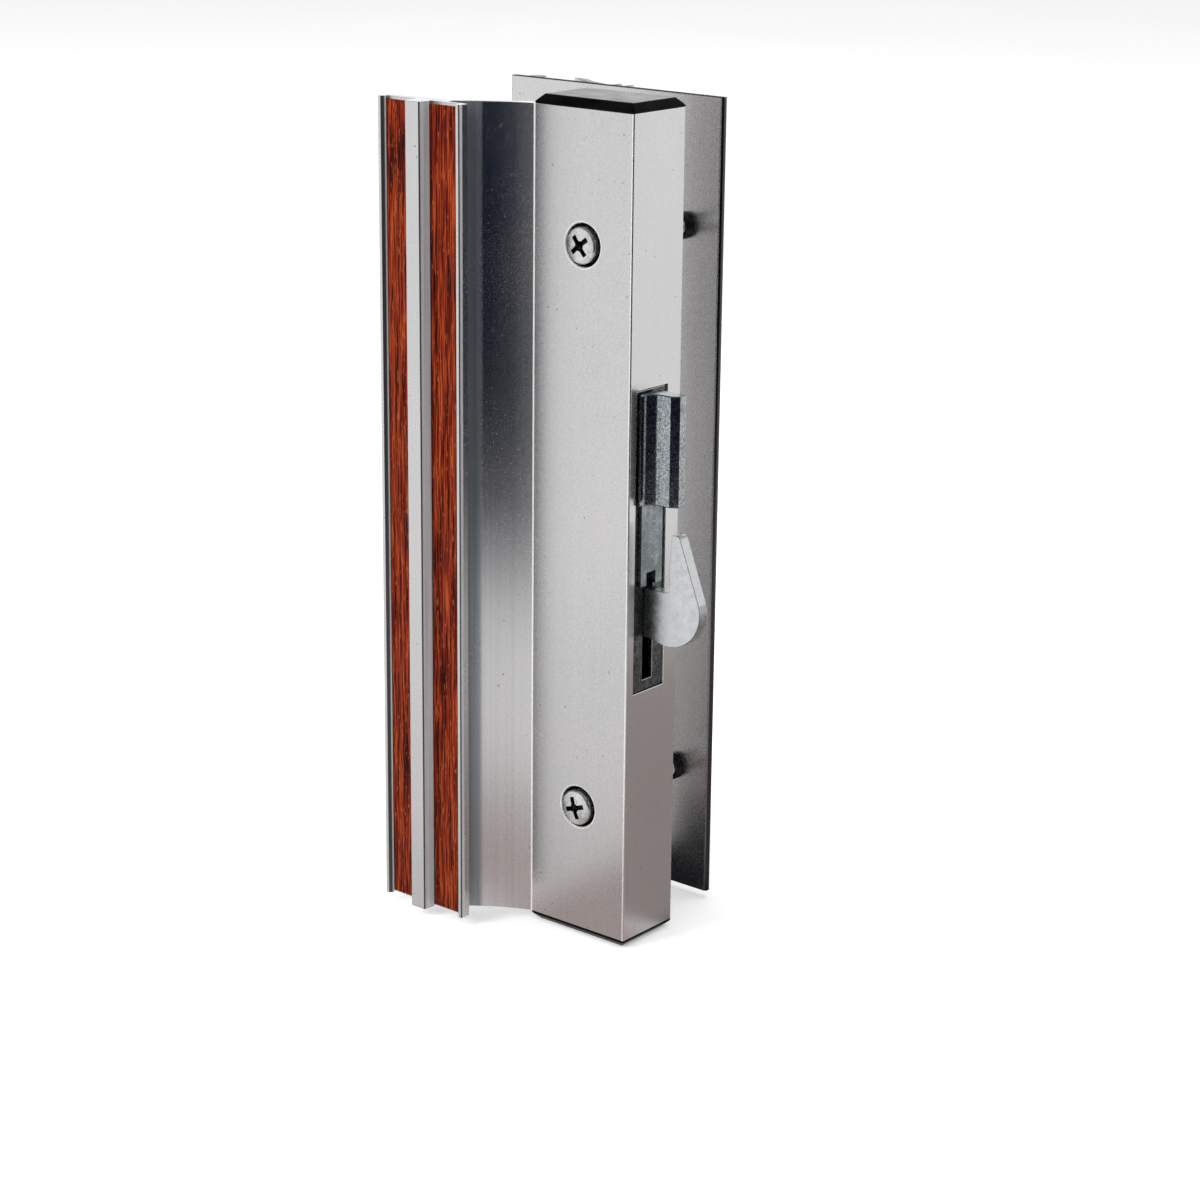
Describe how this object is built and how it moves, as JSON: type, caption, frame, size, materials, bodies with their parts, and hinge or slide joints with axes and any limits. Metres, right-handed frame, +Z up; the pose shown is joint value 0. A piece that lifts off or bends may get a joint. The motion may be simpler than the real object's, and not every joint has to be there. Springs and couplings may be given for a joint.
{
  "type": "patio door lock",
  "caption": "Surface-mounted sliding patio door handle with a fluted aluminium grip, wood-grain strips, thumb-operated hook latch and outside pull plate",
  "frame": {"origin": "on the handle's flat back face, which lies against the door, midway between the two mounting screws", "axes": "+Z up along the handle, +Y through the door to the outside (the room is -Y), +X towards the door jamb, where the hook comes out"},
  "size_m": [0.0867, 0.0736, 0.2076],
  "materials": {
    "satin_aluminium": "satin anodised, clear",
    "wood_strip": "reddish mahogany grain, satin",
    "black_plastic": "satin black",
    "dark_steel": "dark plated, satin",
    "zinc_steel": "zinc plated, bright",
    "galvanised_steel": "zinc plated, mottled",
    "dark_cast": "dark cast, faint speckle",
    "bright_zinc": "zinc plated, bright, lightly mottled",
    "spring_steel": "spring steel"
  },
  "bodies": {
    "handle": {"interior_handle": "satin_aluminium", "grip_insert_outer": "wood_strip", "grip_insert_inner": "wood_strip", "top_end_cap": "black_plastic", "bottom_end_cap": "black_plastic", "exterior_pull": "satin_aluminium", "post_nut_upper": "dark_steel", "post_nut_lower": "dark_steel", "screw_sleeve_upper": "zinc_steel", "screw_sleeve_lower": "zinc_steel", "mounting_screw_upper": "zinc_steel", "mounting_screw_lower": "zinc_steel", "latch_case": "galvanised_steel", "case_back_plate": "galvanised_steel", "case_screw_lower": "zinc_steel", "case_screw_upper": "zinc_steel", "detent_spring": "spring_steel", "spring_rivet": "zinc_steel"},
    "latch": {"slide_strip": "galvanised_steel", "thumb_slide": "dark_cast", "slide_plate": "galvanised_steel", "latch_hook": "bright_zinc", "hook_rivets": "zinc_steel", "slide_rivets": "zinc_steel"}
  },
  "joints": [
    {"name": "latch_slide", "type": "slide", "parent": "handle", "child": "latch", "axis": [0, 0, 1], "range_m": [-0.0105, 0], "deforming": ["detent_spring"]}
  ]
}
